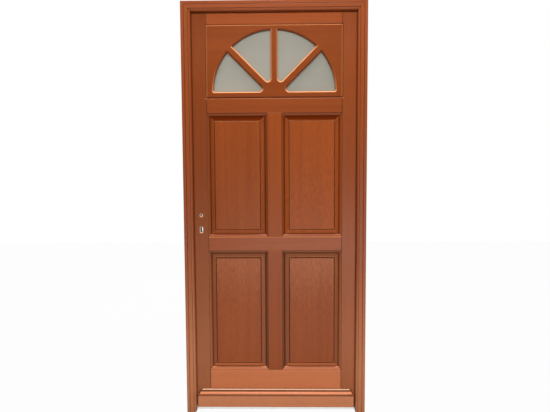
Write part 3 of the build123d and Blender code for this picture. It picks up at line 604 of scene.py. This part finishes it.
            # Painted light on the panels' faces that look down.
            self.tint(self.ranged(self.rise, *(UPPER_UNDERSIDE_LIGHT if node in UPPER_PANELS else LOWER_UNDERSIDE_LIGHT)))
        if node in UPPER_PANELS + SHADED_SHELF_WOOD:
            shelf_shade = self.shade_shelves()
            matt += [shelf_shade] if node in PANELS else []
        if node == "bottom_rail":
            # Painted shade on the bottom rail's faces that look up.
            self.tint(self.ranged(self.rise, *BOTTOM_LEDGE_SHADE))
        # Painted shade on faces that look down and on mouldings that face sideways.
        if look.soffit < 1.0:
            self.tint(self.ranged(self.rise, *SOFFIT_TURN, 1.0, look.soffit))
        if look.sides < 1.0:
            self.tint(self.ranged(self.maths("ABSOLUTE", self.lean["X"]), *SIDE_TURN, 1.0, look.sides))
        if node in JOINTED_RAILS:
            self.draw_joints()
        if node == "drip_rail":
            self.shade_drip_rail()
        matt.append(self.shade_corners())
        if node not in UNHIGHLIT_WOOD:
            self.highlight_edges()
        return self.varnish(matt)


def frosted_glass(name, colours):
    """Pale frosted glass: a soft cloud in the tint and a fine grain in the surface."""
    tree = new_material(name)
    spot = tree.object_space()
    cloud = tree.noise(spot, *GLASS_CLOUD)
    frost = tree.noise(spot, *GLASS_FROST)
    return tree.finish({
        "Base Color": tree.mix(1.0, full(colours.glass), tree.spread(cloud, *GLASS_SHADES), "MULTIPLY"),
        "Roughness": tree.spread(frost, *GLASS_ROUGHNESS),
        "Transmission Weight": GLASS_CLEARNESS,
        "IOR": GLASS_INDEX,
        "Normal": tree.bump(frost, *GLASS_RELIEF),
    })


def bright_metal(name, tint):
    """Metal with fine rub marks along the stretched direction and a dull bloom."""
    tree = new_material(name)
    spot = tree.object_space()
    rub, roughness = METAL_RUBS[name]
    marks = tree.noise(spot, rub, *RUB_NOISE)
    bloom = tree.noise(spot, *METAL_BLOOM)
    return tree.finish({
        "Base Color": tree.mix(1.0, full(tint), tree.spread(bloom, *METAL_SHADES), "MULTIPLY"),
        "Metallic": 1.0,
        "Roughness": tree.spread(marks, roughness - SMOOTHER, roughness + ROUGHER),
        "Normal": tree.bump(marks, *METAL_RELIEF),
    })


def seal_rubber(name, colours):
    """Matt black rubber with a dusty bloom."""
    tree = new_material(name)
    dust = tree.noise(tree.object_space(), *RUBBER_DUST)
    shade = tree.mix(1.0, full(colours.rubber), tree.spread(dust, *RUBBER_SHADES), "MULTIPLY")
    return tree.finish({"Base Color": shade, "Roughness": tree.spread(dust, *RUBBER_ROUGHNESS)})


def raw_wood(name, colours):
    """Unstained wood, cut by a drill: rings of tool marks round the hole's axis."""
    tree = new_material(name)
    marks = tree.noise(tree.object_space(), *CUT_MARKS)
    shade = tree.mix(1.0, full(colours.raw_wood), tree.spread(marks, *CUT_SHADES), "MULTIPLY")
    return tree.finish({"Base Color": shade, "Roughness": CUT_ROUGHNESS})


def new_mesh(name, points, faces):
    """A mesh object at the origin from point and face arrays."""
    mesh = bpy.data.meshes.new(name)
    mesh.from_pydata(points.tolist(), [], faces)
    mesh.update()
    mesh.validate()
    obj = bpy.data.objects.new(name, mesh)
    bpy.context.scene.collection.objects.link(obj)
    return obj


def grid_faces(rows, columns, close_rows=False):
    """The quads of a grid whose columns close on themselves, and its rows too if asked."""
    last = rows if close_rows else rows - 1
    row, column = np.meshgrid(np.arange(last), np.arange(columns), indexing="ij")
    below = (row + 1) % rows
    beside = (column + 1) % columns
    quads = np.stack([row * columns + column, below * columns + column,
                      below * columns + beside, row * columns + beside], -1)
    return quads.reshape(-1, 4)


def screw_head(sizes, rings=10, spokes=48):
    """A countersunk head with a cross recess, its middle at the origin and its face towards +Z.

    Over radius r and angle t the face is the dome times one less r over the head's radius squared, less the
    recess depth where the point lies in an arm of the cross. The rim then drops by the skirt, and both the
    face and the underside shrink to rings of no width in the middle."""
    radius = np.concatenate([np.linspace(0.0, 1.0, rings), [1.0, 0.0]]) * sizes.screw_radius
    turn = np.arange(spokes) * (2 * math.pi / spokes)
    r, t = np.meshgrid(radius, turn, indexing="ij")
    x, y = r * np.cos(t), r * np.sin(t)
    rise = sizes.screw_dome * (1 - (r / sizes.screw_radius) ** 2)
    near = np.minimum(np.abs(x), np.abs(y))
    far = np.maximum(np.abs(x), np.abs(y))
    inside = (near < sizes.recess_width) & (far < sizes.recess_reach)
    z = rise - np.where(inside, sizes.recess_depth, 0.0)
    z[-2:] = -sizes.screw_skirt
    return np.stack([x, y, z], -1).reshape(-1, 3), grid_faces(len(radius), spokes)


def screw_group(name, places, facing, sizes):
    """Several screw heads as one piece: the head turned to face +X (facing 1) or -X (-1), at every place."""
    head, quads = screw_head(sizes)
    turned = np.stack([head[:, 2] * facing, head[:, 1], head[:, 0] * -facing], -1)
    places = np.asarray(places)
    points = (places[:, None, :] + turned[None]).reshape(-1, 3)
    steps = np.arange(len(places)) * len(head)
    faces = (quads[None] + steps[:, None, None]).reshape(-1, 4)
    return new_mesh(name, points, faces.tolist())


def hole_lining(name, centre, radius, run, depths, sizes, count=64):
    """A tube inside a hole through the leaf's face, with a flared mouth.

    The path is a long hole in X and Z: a half circle over the centre, a half circle at run below it, and the
    two straight sides between them. A rectangle of the lining's wall by the lining's depth, with its inner
    corner at the mouth cut off at 45 degrees, is carried along the path and closes on itself."""
    mouth, bottom = depths
    turn = np.arange(count) * (2 * math.pi / count)
    lift = np.where(np.sin(turn) < 0, -run, 0.0)
    outer = radius - sizes.lining_fit
    inner = outer - sizes.lining_wall
    inwards = math.copysign(1.0, bottom - mouth)
    flare = mouth + inwards * sizes.lining_wall
    profile = np.array([(outer, mouth), (outer, bottom), (inner, bottom), (inner, flare)])[::int(inwards)]
    r = profile[:, 0][:, None]
    x = centre[0] + r * np.cos(turn)[None]
    z = centre[1] + lift[None] + r * np.sin(turn)[None]
    y = np.broadcast_to(profile[:, 1][:, None], x.shape)
    points = np.stack([x, y, z], -1).reshape(-1, 3)
    return new_mesh(name, points, grid_faces(len(profile), count, True).tolist())


class DOOR_OT_wood_finish(bpy.types.Operator):
    """Stain and varnish every wooden piece, each with its own stretch of grain."""

    bl_idname = "door.wood_finish"
    bl_label = "Stain the wood"

    def execute(self, context):
        colours = context.scene.door_colours
        for number, node in enumerate(UPRIGHT_WOOD + LEVEL_WOOD):
            place = [step * number for step in GRAIN_STEP]
            dress(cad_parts[node], StainedWood(node, place, colours).build())
        return {"FINISHED"}


class DOOR_OT_glass_finish(bpy.types.Operator):
    """Frost the four panes of the fanlight."""

    bl_idname = "door.glass_finish"
    bl_label = "Frost the glass"

    def execute(self, context):
        glass = frosted_glass("frosted_glass", context.scene.door_colours)
        for node in GLASS:
            dress(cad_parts[node], glass)
        return {"FINISHED"}


class DOOR_OT_metal_finish(bpy.types.Operator):
    """Plate the steel and anodise the threshold."""

    bl_idname = "door.metal_finish"
    bl_label = "Finish the metal"

    def execute(self, context):
        colours = context.scene.door_colours
        zinc = bright_metal("zinc_steel", colours.zinc)
        for node in STEEL:
            dress(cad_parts[node], zinc)
        dark = bright_metal("dark_steel", colours.dark_steel)
        for node in LOCK_STEEL:
            dress(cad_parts[node], dark)
        sill = bright_metal("threshold_aluminium", colours.aluminium)
        dress(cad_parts["threshold"], sill)
        return {"FINISHED"}


class DOOR_OT_rubber_finish(bpy.types.Operator):
    """Give the weather seals their matt rubber."""

    bl_idname = "door.rubber_finish"
    bl_label = "Finish the seals"

    def execute(self, context):
        rubber = seal_rubber("seal_rubber", context.scene.door_colours)
        for node in RUBBER:
            dress(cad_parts[node], rubber)
        return {"FINISHED"}


class DOOR_OT_screws(bpy.types.Operator):
    """Set the screws in the hinge blades, the strike plate and the lock's faceplate."""

    bl_idname = "door.screws"
    bl_label = "Set the screws"

    def execute(self, context):
        sizes = context.scene.door_sizes
        zinc = bpy.data.materials["zinc_steel"]
        leaf_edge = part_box("hinge_stile")[1].x
        frame_edge = -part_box("strike_plate")[1].x
        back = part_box("hinge_stile")[1].y
        blades = []
        for number in HINGES:
            low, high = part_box(f"hinge_{number}_frame_half")
            middle = (low.z + high.z) / 2
            for step in range(HINGE_SCREWS):
                row = back - sizes.hinge_row * (1 + step % 2)
                rise = (step - (HINGE_SCREWS - 1) / 2) * sizes.hinge_screw_pitch
                blades.append((row, middle + rise))
        groups = [
            ("frame_hinge_screws", "frame", -1, [(frame_edge, y, z) for y, z in blades]),
            ("leaf_hinge_screws", "door_leaf", 1, [(leaf_edge, y, z) for y, z in blades]),
        ]
        for plate, body, facing in (("strike_plate", "frame", 1), ("lock_faceplate", "door_leaf", -1)):
            low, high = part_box(plate)
            x = high.x if facing > 0 else low.x
            y = (low.y + high.y) / 2
            inset = sizes.plate_screw_inset
            ends = [(x, y, low.z + inset), (x, y, high.z - inset)]
            groups.append((f"{plate}_screws", body, facing, ends))
        for name, body, facing, places in groups:
            screws = screw_group(name, places, facing, sizes)
            dress(screws, zinc)
            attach(screws, body)
        return {"FINISHED"}


class DOOR_OT_hole_linings(bpy.types.Operator):
    """Show the cut wood inside the two lock holes, from both faces of the leaf."""

    bl_idname = "door.hole_linings"
    bl_label = "Line the lock holes"

    def execute(self, context):
        sizes = context.scene.door_sizes
        wood = raw_wood("raw_wood", context.scene.door_colours)
        low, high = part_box("lock_stile")
        x = low.x + sizes.spindle_inset
        spindle = (x, sizes.spindle_height)
        cylinder = (x, sizes.spindle_height - sizes.cylinder_drop)
        mouth = sizes.lining_mouth
        sides = (
            ("outer", (low.y + mouth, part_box("lock_case")[0].y - mouth)),
            ("inner", (high.y - mouth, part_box("lock_cover")[1].y + mouth)),
        )
        holes = (
            ("spindle", spindle, sizes.hub_hole, 0.0),
            ("cylinder", cylinder, sizes.cylinder_hole, sizes.cylinder_run),
        )
        for side, depths in sides:
            for hole, centre, radius, run in holes:
                lining = hole_lining(f"{side}_{hole}_lining", centre, radius, run, depths, sizes)
                dress(lining, wood)
                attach(lining, "door_leaf")
        return {"FINISHED"}


def stage_camera(stage):
    """A camera turned by yaw, pitch and roll, looking into +Y."""
    yaw, pitch, roll = stage.camera_yaw, stage.camera_pitch, stage.camera_roll
    forward = Vector((-math.sin(yaw) * math.cos(pitch), math.cos(yaw) * math.cos(pitch), -math.sin(pitch)))
    right = Vector((math.cos(yaw), math.sin(yaw), 0.0))
    up = right.cross(forward)
    side = right * math.cos(roll) + up * math.sin(roll)
    top = up * math.cos(roll) - right * math.sin(roll)
    data = bpy.data.cameras.new("camera")
    data.sensor_width = SENSOR_WIDTH
    data.lens = stage.camera_lens
    data.clip_start = NEAREST_VIEW
    camera = bpy.data.objects.new("camera", data)
    turn = Matrix((side, top, -forward)).transposed().to_4x4()
    camera.matrix_world = Matrix.Translation(Vector(stage.camera_place)) @ turn
    bpy.context.scene.collection.objects.link(camera)
    bpy.context.scene.camera = camera


def soft_light(name, power):
    """A rectangular soft light at its place, turned to its target and left out of the camera's view."""
    place, target, width, height = SOFT_LIGHTS[name]
    data = bpy.data.lights.new(name, "AREA")
    data.shape = "RECTANGLE"
    data.size = width
    data.size_y = height
    data.energy = power
    lamp = bpy.data.objects.new(name, data)
    lamp.location = place
    lamp.rotation_euler = (Vector(target) - Vector(place)).to_track_quat("-Z", "Y").to_euler()
    lamp.visible_camera = False
    bpy.context.scene.collection.objects.link(lamp)
    return lamp


def far_light(name, stage):
    """A far light whose rays all come from the same side, as wide as the key's spread."""
    data = bpy.data.lights.new(name, "SUN")
    data.energy = stage.key_light
    data.angle = stage.key_spread
    lamp = bpy.data.objects.new(name, data)
    rise, turn = stage.key_rise, stage.key_turn
    towards = Vector((math.sin(turn) * math.cos(rise), -math.cos(turn) * math.cos(rise), math.sin(rise)))
    lamp.rotation_euler = towards.to_track_quat("Z", "Y").to_euler()
    lamp.location = towards * stage.floor_reach
    bpy.context.scene.collection.objects.link(lamp)


def stage_floor(stage):
    """A square floor just under the door, seen near white with the door's shadow left in it."""
    corners = np.array([(-1, -1), (1, -1), (1, 1), (-1, 1)]) * stage.floor_reach
    points = np.column_stack([corners, np.full(4, -stage.floor_drop)])
    floor = new_mesh("floor", points, [(0, 1, 2, 3)])
    tree = new_material("floor_white")
    matt = tree.add("ShaderNodeBsdfDiffuse", {"Color": full((stage.floor_tone,) * 3)}).outputs["BSDF"]
    white = tree.add("ShaderNodeEmission", {"Color": WHITE, "Strength": 1.0}).outputs["Emission"]
    share = tree.spread(tree.shown(), 0.0, stage.floor_white)
    surface = tree.add("ShaderNodeMixShader", {0: share, 1: matt, 2: white}).outputs["Shader"]
    tree.add("ShaderNodeOutputMaterial", {"Surface": surface})
    dress(floor, tree.owner)


def stage_world(stage):
    """Plain white where it shows; for the lighting a sky, weak near the horizon and stronger overhead."""
    world = bpy.data.worlds.new("studio")
    bpy.context.scene.world = world
    tree = NodeTree(world)
    height = tree.split(tree.add("ShaderNodeTexCoord").outputs["Generated"])["Z"]
    rise = tree.ranged(height, *SKY_RISE, stage.sky_low, stage.sky_high, interpolation_type="SMOOTHSTEP")
    sky = tree.add("ShaderNodeBackground", {"Color": WHITE, "Strength": rise}).outputs["Background"]
    white = tree.add("ShaderNodeBackground", {"Color": WHITE, "Strength": 1.0}).outputs["Background"]
    mixed = tree.add("ShaderNodeMixShader", {0: tree.shown(), 1: sky, 2: white}).outputs["Shader"]
    tree.add("ShaderNodeOutputWorld", {"Surface": mixed})


class DOOR_OT_stage(bpy.types.Operator):
    """Set the camera, the floor, the sky and the lights."""

    bl_idname = "door.stage"
    bl_label = "Set the stage"

    def execute(self, context):
        stage = context.scene.door_stage
        stage_camera(stage)
        stage_floor(stage)
        stage_world(stage)
        far_light("key_light", stage)
        soft_light("floor_light", stage.floor_light)
        soft_light("sheen_light", stage.sheen_light)
        head_light = soft_light("head_light", stage.head_light)
        head_light.visible_glossy = False
        soft_light("back_light", stage.back_light)
        context.scene.view_settings.view_transform = "Standard"
        return {"FINISHED"}


OPERATORS = (
    DOOR_OT_wood_finish, DOOR_OT_glass_finish, DOOR_OT_metal_finish, DOOR_OT_rubber_finish,
    DOOR_OT_screws, DOOR_OT_hole_linings, DOOR_OT_stage,
)


class DOOR_PT_sidebar(bpy.types.Panel):
    """The door's pieces and its stage, in the order that they are made."""

    bl_idname = "DOOR_PT_sidebar"
    bl_label = "Panelled front door"
    bl_space_type = "VIEW_3D"
    bl_region_type = "UI"
    bl_category = "Door"

    def draw(self, context):
        for operator in OPERATORS:
            self.layout.operator(operator.bl_idname)


CLASSES = (DoorColours, DoorSizes, DoorStage) + OPERATORS + (DOOR_PT_sidebar,)


def register():
    """Register the settings, the operators and the sidebar."""
    for item in CLASSES:
        bpy.utils.register_class(item)
    bpy.types.Scene.door_colours = PointerProperty(type=DoorColours)
    bpy.types.Scene.door_sizes = PointerProperty(type=DoorSizes)
    bpy.types.Scene.door_stage = PointerProperty(type=DoorStage)


def unregister():
    """Take back what register did."""
    del bpy.types.Scene.door_colours
    del bpy.types.Scene.door_sizes
    del bpy.types.Scene.door_stage
    for item in reversed(CLASSES):
        bpy.utils.unregister_class(item)


def main():
    """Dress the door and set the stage."""
    register()
    bpy.ops.door.wood_finish()
    bpy.ops.door.glass_finish()
    bpy.ops.door.metal_finish()
    bpy.ops.door.rubber_finish()
    bpy.ops.door.screws()
    bpy.ops.door.hole_linings()
    bpy.ops.door.stage()


if __name__ == "__main__":
    main()
